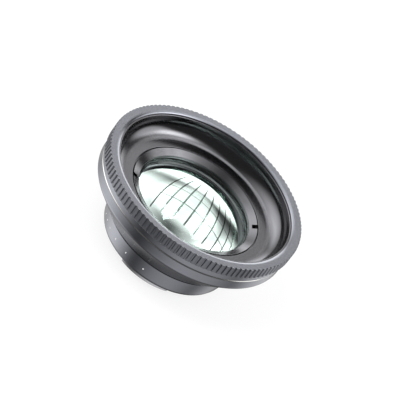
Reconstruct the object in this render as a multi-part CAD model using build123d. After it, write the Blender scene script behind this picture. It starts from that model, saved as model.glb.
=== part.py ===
"""Wide-angle add-on lens for a phone: a turned metal barrel with a bayonet foot and five glasses.

Millimetres. The optical axis is Z and the front glass looks up. The origin is at the middle of
the foot, on the plane that the three bayonet lugs stand on. Heights are worked up from that
plane to the barrel, and from the barrel's inner seat down through the glasses.
"""

import os
from math import asin, atan2, cos, degrees, pi, radians, sin, sqrt, tan

from build123d import *

# Glasses: the rear pair's radius and how much wider each glass in front is, the radii of
# curvature, and the thickness at the axis or at the edge
doublet_radius = 10.0
second_extra_radius = 2.5
front_extra_radius = 5.9
front_edge = 4.85
front_centre = 2.0
front_outer_curve = 38.0
front_inner_curve = 18.0
front_bevel = 1.1
second_edge = 4.15
second_centre = 1.8
second_outer_curve = 60.0
second_inner_curve = 14.0
second_bevel = 1.0
doublet_bevel = 0.8
doublet_front_curve = 26.0
doublet_joint_curve = 22.0
doublet_rear_curve = 60.0
crown_edge = 1.15
flint_centre = 1.3

# What holds the glasses
front_gasket_height = 0.25
front_gasket_width = 1.0
spacer_height = 0.5
spacer_overhang = 0.9
stop_radius = 7.6
stop_height = 0.15
stop_relief = 0.45
rear_ring_width = 1.45
rear_ring_height = 1.7
rear_ring_sink = 0.75
rear_thread_step = 0.5
retainer_step = 1.05
retainer_bite = 0.9
retainer_slope = 1.0
retainer_land = 1.05
spanner_slot_width = 1.6
spanner_slot_depth = 1.5
spanner_slot_reach = 1.4
spanner_slot_azimuth = 23.0

# Lens cell
cell_flange_height = 1.1
cell_neck_wall = 1.6
cell_middle_wall = 1.95
cell_front_wall = 1.9
cell_step_floor = 1.1
cell_fit = 0.1
cell_drop = 0.6

# Hood cup
cup_floor_width = 2.4
cup_corner = 4.3
cup_wall = 0.9
cup_floor = 0.9
cup_flange_height = 0.9
cup_gap = 0.35
cup_floor_gap = 0.05
cup_gasket_height = 0.2

# Front ring and its knurl
lip_width = 1.4
lip_height = 0.6
lip_slope_width = 1.05
lip_slope_drop = 0.37
ring_wall = 1.1
ring_height = 5.2
ring_seat_gap = 0.05
knurl_height = 3.44
knurl_top_land = 0.06
knurl_foot_slope = 0.15
knurl_step = 0.1
tooth_count = 120
tooth_depth = 0.35
tooth_crest = 0.68
tooth_floor = 0.42
tooth_azimuth = -0.2

# Barrel
barrel_seat_depth = 3.0
barrel_step = 0.1
barrel_edge_height = 0.4
barrel_edge_width = 0.35
barrel_band_height = 2.9
barrel_cone_height = 9.0
barrel_round = 1.5
collar_wall = 0.9
joint_groove = 0.15
joint_gap = 0.05

# Mount ring
mount_height = 6.3
mount_flare = 1.38
mount_wall = 1.97
mount_edge_height = 0.8
mount_edge_width = 0.42
mount_ledge_height = 1.2
hub_shoulder = 0.8
hub_cover = 0.4
dot_radius = 0.22
dot_depth = 0.1
dot_height = 3.15
dot_count = 6
dot_first_azimuth = -90.8
dot_first_step = 18.55
dot_step_ratio = 0.77

# Bayonet
lug_height = 1.5
slot_height = 1.8
lug_reach = 1.7
lug_span = 56.0
lug_azimuth = -86.0
lug_count = 3
spigot_wall = 2.0
spigot_fit = 0.2
base_flange_height = 1.7
base_fit = 0.05
base_rim = 0.35

# Screws, pin and seal
screw_count = 3
mount_screw_head = 1.3
mount_screw_radius = 0.78
mount_screw_length = 5.5
cell_screw_head = 1.3
cell_screw_radius = 0.78
cell_screw_length = 3.4
screw_hole_fit = 0.04
screw_hole_spare = 0.4
head_clearance = 0.05
driver_length = 1.5
driver_width = 0.32
driver_depth = 0.4
pin_radius = 0.75
pin_hole_fit = 0.03
pin_base_depth = 1.0
pin_hub_depth = 2.0
pin_end_gap = 0.1
seal_width = 1.0
seal_height = 0.7
seal_inset = 0.6
seal_fit = 0.05

# Fits between turned diameters
glass_fit = 0.1
pair_fit = 0.05
thread_fit = 0.05
edge_break = 0.15


def sag(curve, radius):
    """Height of a spherical cap of the given curve over a disc of the given radius."""
    return curve - sqrt(curve**2 - radius**2)


def cap_radius(curve, height):
    """Radius of the disc under a spherical cap of the given height."""
    return sqrt(curve**2 - (curve - height) ** 2)


# Radii of the glasses and of the cell, from the glasses outwards
second_radius = doublet_radius + second_extra_radius
front_radius = second_radius + front_extra_radius
pair_bore = doublet_radius + pair_fit
rear_thread_bore = doublet_radius + rear_thread_step
rear_ring_radius = rear_thread_bore - thread_fit
rear_ring_inner = rear_ring_radius - rear_ring_width
neck_radius = rear_thread_bore + cell_neck_wall
pair_clear = doublet_radius - doublet_bevel
web_bore = pair_clear + cell_fit
second_bore = second_radius + pair_fit
middle_radius = max(second_bore + cell_middle_wall, neck_radius + edge_break)
front_bore = front_radius + glass_fit
front_cell_radius = front_bore + cell_front_wall
ring_thread_bore = front_radius + retainer_step + thread_fit
retainer_radius = ring_thread_bore - thread_fit
retainer_inner = retainer_radius - retainer_step - retainer_land

# Radii of the cup, the front ring and the barrel
cup_hole = retainer_radius + cup_gap
cup_flat_radius = cup_hole + cup_floor_width
cup_inner = cup_flat_radius + cup_corner
cup_outer = cup_inner + cup_wall
cavity_radius = cup_outer + cell_fit
collar_radius = cavity_radius + collar_wall
lip_radius = collar_radius - lip_width
ring_bore = collar_radius + thread_fit
ring_neck_radius = ring_bore + ring_wall
tooth_root_radius = ring_neck_radius + knurl_step
tooth_tip_radius = tooth_root_radius + tooth_depth
ring_face_radius = tooth_tip_radius - knurl_top_land
band_radius = ring_neck_radius - barrel_step
barrel_bore = front_cell_radius + 2 * cell_fit

# Radii of the hub, the bayonet and the mount ring
hub_bore = middle_radius + cell_fit
spigot_bore = neck_radius + spigot_fit
spigot_radius = spigot_bore + spigot_wall
lug_radius = spigot_radius + lug_reach
screw_circle = max(hub_bore, spigot_radius) + mount_screw_head + head_clearance
base_radius = screw_circle + mount_screw_head + base_rim
hub_radius = base_radius + hub_shoulder
mount_base_bore = base_radius + base_fit
mount_hub_bore = hub_radius + cell_fit
mount_ledge_bore = hub_bore + cell_fit
mount_top_radius = max(mount_base_bore + mount_wall + mount_flare, barrel_bore + hub_cover)
mount_low_radius = mount_top_radius - mount_flare
pin_circle = (hub_bore + hub_radius) / 2
seal_inner = barrel_bore + seal_inset
cell_screw_circle = (barrel_bore + cavity_radius) / 2

# Heights of the outside, from the lugs up
seat_z = lug_height + slot_height
base_top_z = seat_z + base_flange_height
hub_foot_z = base_top_z + mount_ledge_height
joint_z = seat_z + mount_height
band_z = joint_z + barrel_cone_height
shoulder_z = band_z + barrel_band_height + barrel_edge_height
face_z = shoulder_z + ring_height
knurl_z = face_z - knurl_top_land - knurl_height
flange_top_z = face_z - lip_height
flange_under_z = flange_top_z - cup_flange_height
collar_top_z = flange_under_z - cup_gasket_height

# Heights of the inside, from the cell's seat up and then down through the glasses
cell_seat_z = shoulder_z - barrel_seat_depth
cell_top_z = cell_seat_z + cell_flange_height
retainer_foot_z = cell_top_z - retainer_bite
front_glass_z = retainer_foot_z - front_gasket_height
front_glass_rear_z = front_glass_z - front_edge
front_seat_z = front_glass_rear_z - spacer_height
second_rear_z = front_seat_z - second_edge
second_seat_z = second_rear_z - stop_height
web_height = sag(doublet_front_curve, pair_clear) - sag(doublet_front_curve, stop_radius) + stop_relief
pair_seat_z = second_seat_z - web_height
crown_rear_z = pair_seat_z - crown_edge
crown_apex_z = crown_rear_z - sag(doublet_joint_curve, doublet_radius)
flint_apex_z = crown_apex_z - flint_centre
pair_rear_clear = rear_ring_inner - cell_fit
pair_rear_z = flint_apex_z + sag(doublet_rear_curve, pair_rear_clear)
rear_ring_foot_z = pair_rear_z - rear_ring_height
cell_foot_z = rear_ring_foot_z - rear_ring_sink
cell_front_foot_z = front_seat_z - cell_step_floor
neck_top_z = min(hub_foot_z + cell_fit, second_seat_z - cell_step_floor)
barrel_floor_z = cell_front_foot_z - cell_drop

# Sag of the curved faces, and the radius at which a hollow face starts
front_clear = front_radius - front_bevel
front_apex_z = front_glass_z + sag(front_outer_curve, front_clear)
front_hollow = front_apex_z - front_centre - front_glass_rear_z
front_hollow_radius = cap_radius(front_inner_curve, front_hollow)
second_clear = second_radius - second_bevel
second_apex_z = front_seat_z + sag(second_outer_curve, second_clear)
second_hollow = second_apex_z - second_centre - second_rear_z
second_hollow_radius = cap_radius(second_inner_curve, second_hollow)

# Azimuths of what repeats round the axis; the screws stand between the lugs
lug_azimuths = [lug_azimuth + place * 360 / lug_count for place in range(lug_count)]
screw_azimuths = [lug_azimuth + (place + 0.5) * 360 / screw_count for place in range(screw_count)]
spanner_azimuths = [spanner_slot_azimuth, spanner_slot_azimuth + 180]
pin_azimuth = lug_azimuths[1]

# Long enough or wide enough to pass right through whatever it cuts
through = 2 * tooth_tip_radius


def turned(*corners):
    """Solid of revolution from the corners (radius, height) of half its section."""
    points = [(radius, 0, height) for radius, height in corners]
    return revolve(make_face(Polyline(*points, close=True)), Axis.Z)


def washer(inner, outer, low, high):
    """Flat ring between two radii and two heights."""
    return turned((inner, low), (outer, low), (outer, high), (inner, high))


def cap_edge(edge_z, clear, curve, rise):
    """Arc from the edge of a spherical face to the axis; rise is 1 up or -1 down."""
    apex_z = edge_z + rise * sag(curve, clear)
    middle = clear / 2
    middle_z = apex_z - rise * sag(curve, middle)
    return ThreePointArc((clear, 0, edge_z), (middle, 0, middle_z), (0, 0, apex_z)), apex_z


def glass(radius, front, rear):
    """Lens between two spherical faces, each given as edge height, clear radius, curve and rise."""
    front_arc, front_apex = cap_edge(*front)
    rear_arc, rear_apex = cap_edge(*rear)
    edges = [front_arc, rear_arc, Line((0, 0, front_apex), (0, 0, rear_apex))]
    if front[1] < radius:
        edges += [Line((front[1], 0, front[0]), (radius, 0, front[0]))]
    if rear[1] < radius:
        edges += [Line((rear[1], 0, rear[0]), (radius, 0, rear[0]))]
    edges += [Line((radius, 0, front[0]), (radius, 0, rear[0]))]
    return revolve(make_face(edges), Axis.Z)


def around(shape, azimuths):
    """Copies of a shape turned about the axis to each azimuth."""
    return [Rot(0, 0, azimuth) * shape for azimuth in azimuths]


def upright(radius, low, high, distance):
    """Round bar parallel to the axis, at a distance from it along X."""
    bar = Cylinder(radius, high - low, align=(Align.CENTER, Align.CENTER, Align.MIN))
    return Pos(distance, 0, low) * bar


def countersunk_screw(head, shank, length, driver=True):
    """Screw along Z with its flat head at the origin, or the plain form of its hole."""
    sink = head - shank
    body = turned((0, 0), (head, 0), (shank, sink), (shank, length), (0, length))
    if driver:
        blade = Box(driver_length, driver_width, 2 * driver_depth)
        body -= [blade, Rot(0, 0, 90) * blade]
    return body


def screw_hole(head, shank, length):
    """Clearance hole for a countersunk screw, a little wider and deeper than the screw."""
    wide_head = head + screw_hole_fit
    wide_shank = shank + screw_hole_fit
    return countersunk_screw(wide_head, wide_shank, length + screw_hole_spare, driver=False)


def ring_of_screws(screw, distance, height, azimuths, down):
    """Places screws on a circle; down turns them so that their heads face the front."""
    facing = Rot(180, 0, 0) if down else Rot(0, 0, 0)
    return around(Pos(distance, 0, height) * facing * screw, azimuths)


def toothed_disc():
    """Straight-cut teeth round the front ring: flat crests, sloping flanks and narrow floors."""
    pitch = 2 * pi / tooth_count
    crest_half = tooth_crest / tooth_tip_radius / 2
    root_half = pitch / 2 - tooth_floor / tooth_root_radius / 2
    corners = []
    for tooth in range(tooth_count):
        middle = radians(tooth_azimuth) + tooth * pitch
        for turn, radius in (
            (-root_half, tooth_root_radius),
            (-crest_half, tooth_tip_radius),
            (crest_half, tooth_tip_radius),
            (root_half, tooth_root_radius),
        ):
            corners.append((radius * cos(middle + turn), radius * sin(middle + turn)))
    outline = make_face(Polyline(*corners, close=True))
    return Pos(0, 0, knurl_z) * extrude(outline, knurl_height + 2 * knurl_top_land)


def front_ring():
    """Knurled ring over the barrel's collar; its lip presses the cup's flange down."""
    foot_z = shoulder_z + ring_seat_gap
    drop = min(lip_slope_drop, lip_height - edge_break)
    curve = (lip_slope_width**2 + drop**2) / (2 * drop)
    half_sweep = asin(lip_slope_width / curve) / 2
    slope_start = lip_radius + lip_slope_width
    face_end = (slope_start, 0, face_z)
    middle = (slope_start - curve * sin(half_sweep), 0, face_z - curve * (1 - cos(half_sweep)))
    lip_end = (lip_radius, 0, face_z - drop)
    rest = Polyline(
        lip_end,
        (lip_radius, 0, flange_top_z),
        (ring_bore, 0, flange_top_z),
        (ring_bore, 0, foot_z),
        (ring_neck_radius - edge_break, 0, foot_z),
        (ring_neck_radius, 0, foot_z + edge_break),
        (ring_neck_radius, 0, knurl_z),
        (tooth_root_radius, 0, knurl_z),
        (tooth_tip_radius, 0, knurl_z + knurl_foot_slope),
        (tooth_tip_radius, 0, face_z - knurl_top_land),
        (ring_face_radius, 0, face_z),
        face_end,
    )
    whole = revolve(make_face([rest, ThreePointArc(face_end, middle, lip_end)]), Axis.Z)
    neck = upright(ring_neck_radius, foot_z, knurl_z, 0)
    return whole & (toothed_disc() + neck)


def cup_bend(side, foot, corner):
    """Quarter round from the cup's wall at one radius to its floor at one height."""
    centre = side - corner
    reach = corner * sin(radians(45))
    wall_end = (side, 0, foot + corner)
    middle = (centre + reach, 0, foot + corner - reach)
    floor_end = (centre, 0, foot)
    return ThreePointArc(wall_end, middle, floor_end), wall_end, floor_end


def hood_cup():
    """Blackened cup round the front glass: clamped flange, straight wall, round corner, floor."""
    foot_z = cell_top_z + cup_floor_gap
    floor_z = foot_z + cup_floor
    inner_corner = min(cup_corner, flange_top_z - floor_z - edge_break)
    outer_corner = min(cup_corner + cup_wall, flange_under_z - foot_z - edge_break)
    inner_bend, inner_wall, inner_floor = cup_bend(cup_inner, floor_z, inner_corner)
    outer_bend, outer_wall, outer_floor = cup_bend(cup_outer, foot_z, outer_corner)
    floor = Polyline(inner_floor, (cup_hole, 0, floor_z), (cup_hole, 0, foot_z), outer_floor)
    rim = Polyline(
        outer_wall,
        (cup_outer, 0, flange_under_z),
        (collar_radius, 0, flange_under_z),
        (collar_radius, 0, flange_top_z),
        (cup_inner, 0, flange_top_z),
        inner_wall,
    )
    return revolve(make_face([inner_bend, outer_bend, floor, rim]), Axis.Z)


def cup_gasket():
    """Thin washer between the cup's flange and the barrel's collar."""
    return washer(cavity_radius, collar_radius, collar_top_z, flange_under_z)


def front_retaining_ring():
    """Threaded ring round the front glass with a sloping face and two spanner slots."""
    top_z = cell_top_z + cup_floor_gap + cup_floor
    ring = turned(
        (retainer_inner, retainer_foot_z),
        (retainer_radius, retainer_foot_z),
        (retainer_radius, top_z),
        (retainer_inner, top_z - retainer_slope),
    )
    slot = Box(2 * spanner_slot_reach, spanner_slot_width, 2 * spanner_slot_depth)
    slots = around(Pos(retainer_radius, 0, top_z) * slot, spanner_azimuths)
    return ring - slots


def front_gasket():
    """Thin ring that the retaining ring presses onto the front glass."""
    return washer(front_radius - front_gasket_width, front_radius, front_glass_z, retainer_foot_z)


def front_element():
    """Front glass: a strong hollow behind a shallow dome."""
    dome = (front_glass_z, front_clear, front_outer_curve, 1)
    hollow = (front_glass_rear_z, front_hollow_radius, front_inner_curve, 1)
    return glass(front_radius, dome, hollow)


def spacer_ring():
    """Flat ring between the first two glasses; it also holds the second one down."""
    return washer(second_radius - spacer_overhang, front_radius, front_seat_z, front_glass_rear_z)


def second_element():
    """Second glass: nearly flat in front and hollow behind."""
    dome = (front_seat_z, second_clear, second_outer_curve, 1)
    hollow = (second_rear_z, second_hollow_radius, second_inner_curve, 1)
    return glass(second_radius, dome, hollow)


def light_stop():
    """Blackened washer under the second glass that cuts stray light."""
    return washer(stop_radius, second_radius, second_seat_z, second_rear_z)


def doublet_front():
    """Crown glass of the cemented pair."""
    dome = (pair_seat_z, pair_clear, doublet_front_curve, 1)
    joint = (crown_rear_z, doublet_radius, doublet_joint_curve, -1)
    return glass(doublet_radius, dome, joint)


def doublet_rear():
    """Flint glass of the cemented pair; its front is the crown's rear curve."""
    joint = (crown_rear_z, doublet_radius, doublet_joint_curve, -1)
    rear = (pair_rear_z, pair_rear_clear, doublet_rear_curve, -1)
    return glass(doublet_radius, joint, rear)


def rear_retaining_ring():
    """Threaded ring behind the cemented pair with two spanner slots on its open face."""
    ring = turned(
        (rear_ring_inner, pair_rear_z),
        (rear_ring_radius, pair_rear_z),
        (rear_ring_radius, rear_ring_foot_z),
        (rear_ring_inner + edge_break, rear_ring_foot_z),
        (rear_ring_inner, rear_ring_foot_z + edge_break),
    )
    slot = Box(2 * rear_ring_width, spanner_slot_width, spanner_slot_depth)
    slots = around(Pos(rear_ring_radius, 0, rear_ring_foot_z) * slot, spanner_azimuths)
    return ring - slots


def cell_screw_holes():
    """Holes for the cell's screws, through the flange and on into the barrel."""
    hole = screw_hole(cell_screw_head, cell_screw_radius, cell_screw_length)
    return ring_of_screws(hole, cell_screw_circle, cell_top_z, screw_azimuths, down=True)


def lens_cell():
    """Stepped tube that carries the glasses, hung from its flange in the barrel."""
    body = turned(
        (rear_thread_bore, cell_foot_z),
        (neck_radius - edge_break, cell_foot_z),
        (neck_radius, cell_foot_z + edge_break),
        (neck_radius, neck_top_z),
        (middle_radius, neck_top_z),
        (middle_radius, cell_front_foot_z),
        (front_cell_radius, cell_front_foot_z),
        (front_cell_radius, cell_seat_z),
        (cavity_radius - cell_fit, cell_seat_z),
        (cavity_radius - cell_fit, cell_top_z - edge_break),
        (cavity_radius - cell_fit - edge_break, cell_top_z),
        (ring_thread_bore, cell_top_z),
        (ring_thread_bore, retainer_foot_z - cell_fit),
        (front_bore, retainer_foot_z - cell_fit),
        (front_bore, front_seat_z),
        (second_bore, front_seat_z),
        (second_bore, second_seat_z),
        (web_bore, second_seat_z),
        (web_bore, pair_seat_z),
        (pair_bore, pair_seat_z),
        (pair_bore, pair_rear_z + cell_fit),
        (rear_thread_bore, pair_rear_z + cell_fit),
    )
    return body - cell_screw_holes()


def cell_screws():
    """Countersunk screws, flush with the top of the cell's flange."""
    screw = countersunk_screw(cell_screw_head, cell_screw_radius, cell_screw_length)
    return ring_of_screws(screw, cell_screw_circle, cell_top_z, screw_azimuths, down=True)


def seal_groove():
    """Groove in the barrel's seat for the seal."""
    return washer(seal_inner, seal_inner + seal_width, cell_seat_z - seal_height, cell_seat_z)


def cell_seal():
    """Seal ring squeezed flat between the barrel's groove and the cell's flange."""
    low_z = cell_seat_z - seal_height
    inner = seal_inner + seal_fit
    outer = seal_inner + seal_width - seal_fit
    return turned(
        (inner + edge_break, low_z),
        (outer - edge_break, low_z),
        (outer, low_z + edge_break),
        (outer, cell_seat_z - edge_break),
        (outer - edge_break, cell_seat_z),
        (inner + edge_break, cell_seat_z),
        (inner, cell_seat_z - edge_break),
        (inner, low_z + edge_break),
    )


def mount_screw_holes():
    """Holes for the mount's screws, from the base's flange up into the hub."""
    hole = screw_hole(mount_screw_head, mount_screw_radius, mount_screw_length)
    return ring_of_screws(hole, screw_circle, seat_z, screw_azimuths, down=False)


def mount_screws():
    """Countersunk screws through the base and the mount ring into the barrel's hub."""
    screw = countersunk_screw(mount_screw_head, mount_screw_radius, mount_screw_length)
    return ring_of_screws(screw, screw_circle, seat_z, screw_azimuths, down=False)


def locating_pin():
    """Pin that lines up the base, the mount ring and the barrel's hub."""
    low_z = base_top_z - pin_base_depth
    high_z = hub_foot_z + pin_hub_depth
    return Rot(0, 0, pin_azimuth) * upright(pin_radius, low_z, high_z, pin_circle)


def pin_hole():
    """Blind hole for the locating pin, a little longer than the pin at both ends."""
    low_z = base_top_z - pin_base_depth - pin_end_gap
    high_z = hub_foot_z + pin_hub_depth + pin_end_gap
    return Rot(0, 0, pin_azimuth) * upright(pin_radius + pin_hole_fit, low_z, high_z, pin_circle)


def barrel_round_points():
    """Start, middle and end of the round where the barrel's cone runs into its band."""
    cone_angle = atan2(band_radius - mount_top_radius, barrel_cone_height)
    lead = barrel_round * tan(cone_angle / 2)
    cone_start = (band_radius - lead * sin(cone_angle), 0, band_z - lead * cos(cone_angle))
    band_end = (band_radius, 0, band_z + lead)
    round_centre = band_radius - barrel_round
    round_middle = (
        round_centre + barrel_round * cos(cone_angle / 2),
        0,
        band_z + lead - barrel_round * sin(cone_angle / 2),
    )
    return cone_start, round_middle, band_end


def main_barrel():
    """Body: hub, cone, band, seat for the cell and threaded collar for the front ring."""
    cone_start, round_middle, band_end = barrel_round_points()
    edge_inner = band_radius - barrel_edge_width
    cone_slope = (band_radius - mount_top_radius) / barrel_cone_height
    rest = Polyline(
        band_end,
        (band_radius, 0, shoulder_z - barrel_edge_height),
        (edge_inner, 0, shoulder_z),
        (collar_radius, 0, shoulder_z),
        (collar_radius, 0, collar_top_z),
        (cavity_radius, 0, collar_top_z),
        (cavity_radius, 0, cell_seat_z),
        (barrel_bore, 0, cell_seat_z),
        (barrel_bore, 0, barrel_floor_z),
        (hub_bore, 0, barrel_floor_z),
        (hub_bore, 0, hub_foot_z),
        (hub_radius, 0, hub_foot_z),
        (hub_radius, 0, joint_z),
        (mount_top_radius - joint_groove, 0, joint_z),
        (mount_top_radius + joint_groove * cone_slope, 0, joint_z + joint_groove),
        cone_start,
    )
    round_arc = ThreePointArc(cone_start, round_middle, band_end)
    body = revolve(make_face([round_arc, rest]), Axis.Z)
    return body - seal_groove() - cell_screw_holes() - mount_screw_holes() - pin_hole()


def index_dots():
    """Shallow round pits for the painted dots, square to the mount ring's sloping side."""
    slope = degrees(atan2(mount_flare, mount_height - mount_edge_height))
    height = seat_z + dot_height
    share = (joint_z - height) / (mount_height - mount_edge_height)
    radius = mount_top_radius - mount_flare * share
    pit = Rot(0, 90 + slope, 0) * Cylinder(dot_radius, 2 * dot_depth)
    azimuths = []
    azimuth = dot_first_azimuth
    step = dot_first_step
    for _ in range(dot_count):
        azimuths.append(azimuth)
        azimuth -= step
        step *= dot_step_ratio
    return around(Pos(radius, 0, height) * pit, azimuths)


def mount_ring():
    """Tapered ring between the barrel and the phone case, with a ledge clamped by the base."""
    top_z = joint_z - joint_gap
    body = turned(
        (mount_base_bore, seat_z),
        (mount_low_radius - mount_edge_width, seat_z),
        (mount_low_radius, seat_z + mount_edge_height),
        (mount_top_radius, top_z - joint_groove),
        (mount_top_radius - joint_groove, top_z),
        (mount_hub_bore, top_z),
        (mount_hub_bore, hub_foot_z),
        (mount_ledge_bore, hub_foot_z),
        (mount_ledge_bore, base_top_z),
        (mount_base_bore, base_top_z),
    )
    return body - mount_screw_holes() - pin_hole() - index_dots()


def lug(azimuth):
    """One bayonet lug: a sector of a ring round the spigot, with its lower edge broken."""
    inner = spigot_radius - spigot_wall / 2
    ring = turned(
        (inner, 0),
        (lug_radius - edge_break, 0),
        (lug_radius, edge_break),
        (lug_radius, lug_height),
        (inner, lug_height),
    )
    half = radians(lug_span / 2)
    wedge_tip = (through * cos(half), through * sin(half))
    wedge = make_face(Polyline((0, 0), wedge_tip, (wedge_tip[0], -wedge_tip[1]), close=True))
    return Rot(0, 0, azimuth) * (ring & extrude(wedge, lug_height))


def bayonet_base():
    """Foot that turns into the phone case: flange, spigot and three lugs."""
    body = turned(
        (spigot_bore, 0),
        (spigot_radius, 0),
        (spigot_radius, seat_z),
        (base_radius, seat_z),
        (base_radius, base_top_z),
        (spigot_bore, base_top_z),
    )
    for azimuth in lug_azimuths:
        body += lug(azimuth)
    return body - mount_screw_holes() - pin_hole()


pieces = {
    "front_ring": front_ring,
    "hood_cup": hood_cup,
    "cup_gasket": cup_gasket,
    "front_retaining_ring": front_retaining_ring,
    "front_gasket": front_gasket,
    "front_element": front_element,
    "spacer_ring": spacer_ring,
    "second_element": second_element,
    "light_stop": light_stop,
    "doublet_front": doublet_front,
    "doublet_rear": doublet_rear,
    "rear_retaining_ring": rear_retaining_ring,
    "lens_cell": lens_cell,
    "cell_screws": cell_screws,
    "cell_seal": cell_seal,
    "main_barrel": main_barrel,
    "mount_ring": mount_ring,
    "bayonet_base": bayonet_base,
    "mount_screws": mount_screws,
    "locating_pin": locating_pin,
}

os.makedirs("parts", exist_ok=True)
for name, make in pieces.items():
    made = make()
    shape = Compound(children=made) if isinstance(made, list) else made
    export_step(shape, f"parts/{name}.step")
print("overall diameter", 2 * tooth_tip_radius, "height", face_z)
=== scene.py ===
"""Dresses the phone's wide-angle lens: turned and knurled metal, glasses, foot and studio."""

from math import asin, atan2, cos, hypot, pi, radians, sin, sqrt, tan, tau

import bmesh
import bpy
from mathutils import Matrix, Vector


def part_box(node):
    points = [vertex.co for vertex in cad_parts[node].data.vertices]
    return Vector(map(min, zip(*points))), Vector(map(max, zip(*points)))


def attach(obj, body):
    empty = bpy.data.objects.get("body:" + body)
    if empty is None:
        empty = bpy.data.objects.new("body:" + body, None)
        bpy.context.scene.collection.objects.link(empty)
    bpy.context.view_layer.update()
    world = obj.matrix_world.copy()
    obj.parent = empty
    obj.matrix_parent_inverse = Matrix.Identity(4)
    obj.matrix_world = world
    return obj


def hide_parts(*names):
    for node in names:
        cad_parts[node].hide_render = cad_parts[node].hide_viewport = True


bl_info = {
    "name": "Wide-angle phone lens",
    "version": (1, 0, 0),
    "blender": (4, 5, 0),
    "location": "3D View > Sidebar > Lens",
    "description": "Builds and finishes a clip-in wide-angle lens with its studio",
    "category": "Add Mesh",
}

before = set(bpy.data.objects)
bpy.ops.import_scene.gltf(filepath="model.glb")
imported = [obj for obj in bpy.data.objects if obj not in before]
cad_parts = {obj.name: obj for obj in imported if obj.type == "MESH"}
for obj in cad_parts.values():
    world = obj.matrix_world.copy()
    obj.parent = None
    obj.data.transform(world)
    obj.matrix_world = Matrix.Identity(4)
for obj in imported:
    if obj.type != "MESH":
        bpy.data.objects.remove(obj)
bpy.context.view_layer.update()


def reach(node):
    """Outer radius of a turned node."""
    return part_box(node)[1].x


def foot(node):
    """Lowest height of a node."""
    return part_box(node)[0].z


def top(node):
    """Highest height of a node."""
    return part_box(node)[1].z


def length(name, description, default):
    """Length in metres that a user can change."""
    return bpy.props.FloatProperty(
        name=name, description=description, default=default, min=0, precision=5,
        subtype="DISTANCE", unit="LENGTH",
    )


def angle(name, description, degrees):
    """Angle that a user can change."""
    return bpy.props.FloatProperty(
        name=name, description=description, default=radians(degrees), subtype="ANGLE", unit="ROTATION"
    )


def share(name, description, default):
    """Number between 0 and 1."""
    return bpy.props.FloatProperty(
        name=name, description=description, default=default, min=0, max=1, subtype="FACTOR"
    )


def number(name, description, default):
    """Plain number with no unit."""
    return bpy.props.FloatProperty(name=name, description=description, default=default)


def colour(name, description, default):
    """Colour of a finish."""
    return bpy.props.FloatVectorProperty(
        name=name, description=description, default=default, size=3, min=0, max=1, subtype="COLOR"
    )


class LensMetalSizes(bpy.types.PropertyGroup):
    """Sizes of the turned metal pieces"""

    edge_round: length("Edge round", "Rounding of the turned edges", 0.00006)
    edge_break: length("Edge break", "Rounding of the larger corners", 0.00015)
    lip_width: length("Lip width", "How far the front ring's lip stands inwards", 0.0014)
    lip_height: length("Lip height", "Thickness of the front ring's lip", 0.0006)
    lip_slope_width: length("Lip slope width", "Width of the curved slope inside the face", 0.00105)
    lip_slope_drop: length("Lip slope drop", "Drop of the curved slope inside the face", 0.00037)
    ring_wall: length("Ring wall", "Wall of the front ring under the knurl", 0.0011)
    knurl_height: length("Knurl height", "Height of the knurled band", 0.00344)
    knurl_land: length("Knurl land", "Chamfer between the knurl and the front face", 0.00006)
    knurl_foot: length("Knurl foot", "Slope at the foot of the knurl", 0.00015)
    tooth_count: bpy.props.IntProperty(name="Teeth", description="Teeth round the ring", default=120)
    tooth_depth: length("Tooth depth", "Depth of the grooves between teeth", 0.00035)
    tooth_crest: length("Tooth crest", "Width of a tooth's flat crest", 0.00068)
    tooth_floor: length("Tooth floor", "Width of a groove's floor", 0.00042)
    tooth_azimuth: angle("Tooth azimuth", "Where the first tooth stands", -0.2)
    band_height: length("Band height", "Height of the barrel's straight band", 0.0029)
    cone_height: length("Cone height", "Height of the barrel's cone", 0.009)
    cone_round: length("Cone round", "Round between the cone and the band", 0.0015)
    bright_height: length("Bright edge height", "Height of the barrel's polished edge", 0.0004)
    bright_width: length("Bright edge width", "Width of the barrel's polished edge", 0.00035)
    joint_groove: length("Joint groove", "Groove between barrel and mount ring", 0.00015)
    collar_wall: length("Collar wall", "Wall of the barrel's threaded collar", 0.0009)
    neck_step: length("Neck step", "How far the front ring's neck lies within the grooves", 0.0001)
    cell_flange: length("Cell flange", "Thickness of the lens cell's flange", 0.0011)
    cell_wall: length("Cell wall", "Wall of the lens cell round the second glass", 0.00195)
    seal_width: length("Seal width", "Width of the seal's groove", 0.001)
    seal_depth: length("Seal depth", "Depth of the seal's groove", 0.0007)
    seal_wall: length("Seal wall", "Wall between the seal's groove and the bore", 0.0006)
    hub_step: length("Hub step", "Height of the barrel's inner step over its foot", 0.0065)
    hub_wall: length("Hub wall", "How far the hub stands out past the spigot", 0.0008)
    mount_flare: length("Mount flare", "How much the mount ring widens upwards", 0.00138)
    mount_edge_height: length("Mount edge height", "Height of the mount ring's lower edge", 0.0008)
    mount_edge_width: length("Mount edge width", "Width of the mount ring's lower edge", 0.00042)
    dot_count: bpy.props.IntProperty(name="Dots", description="Index dots in the row", default=6)
    dot_radius: length("Dot radius", "Radius of an index dot", 0.00022)
    dot_depth: length("Dot depth", "How deep a dot sits in the metal", 0.00002)
    dot_thickness: length("Dot thickness", "Thickness of a dot's paint", 0.00004)
    dot_height: length("Dot height", "Height of the dots above the case seat", 0.00315)
    dot_first: angle("First dot", "Azimuth of the first index dot", -90.8)
    dot_step: angle("First dot step", "Angle between the first two dots", 18.55)
    dot_ratio: share("Dot step ratio", "How each further step shrinks", 0.77)


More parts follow.
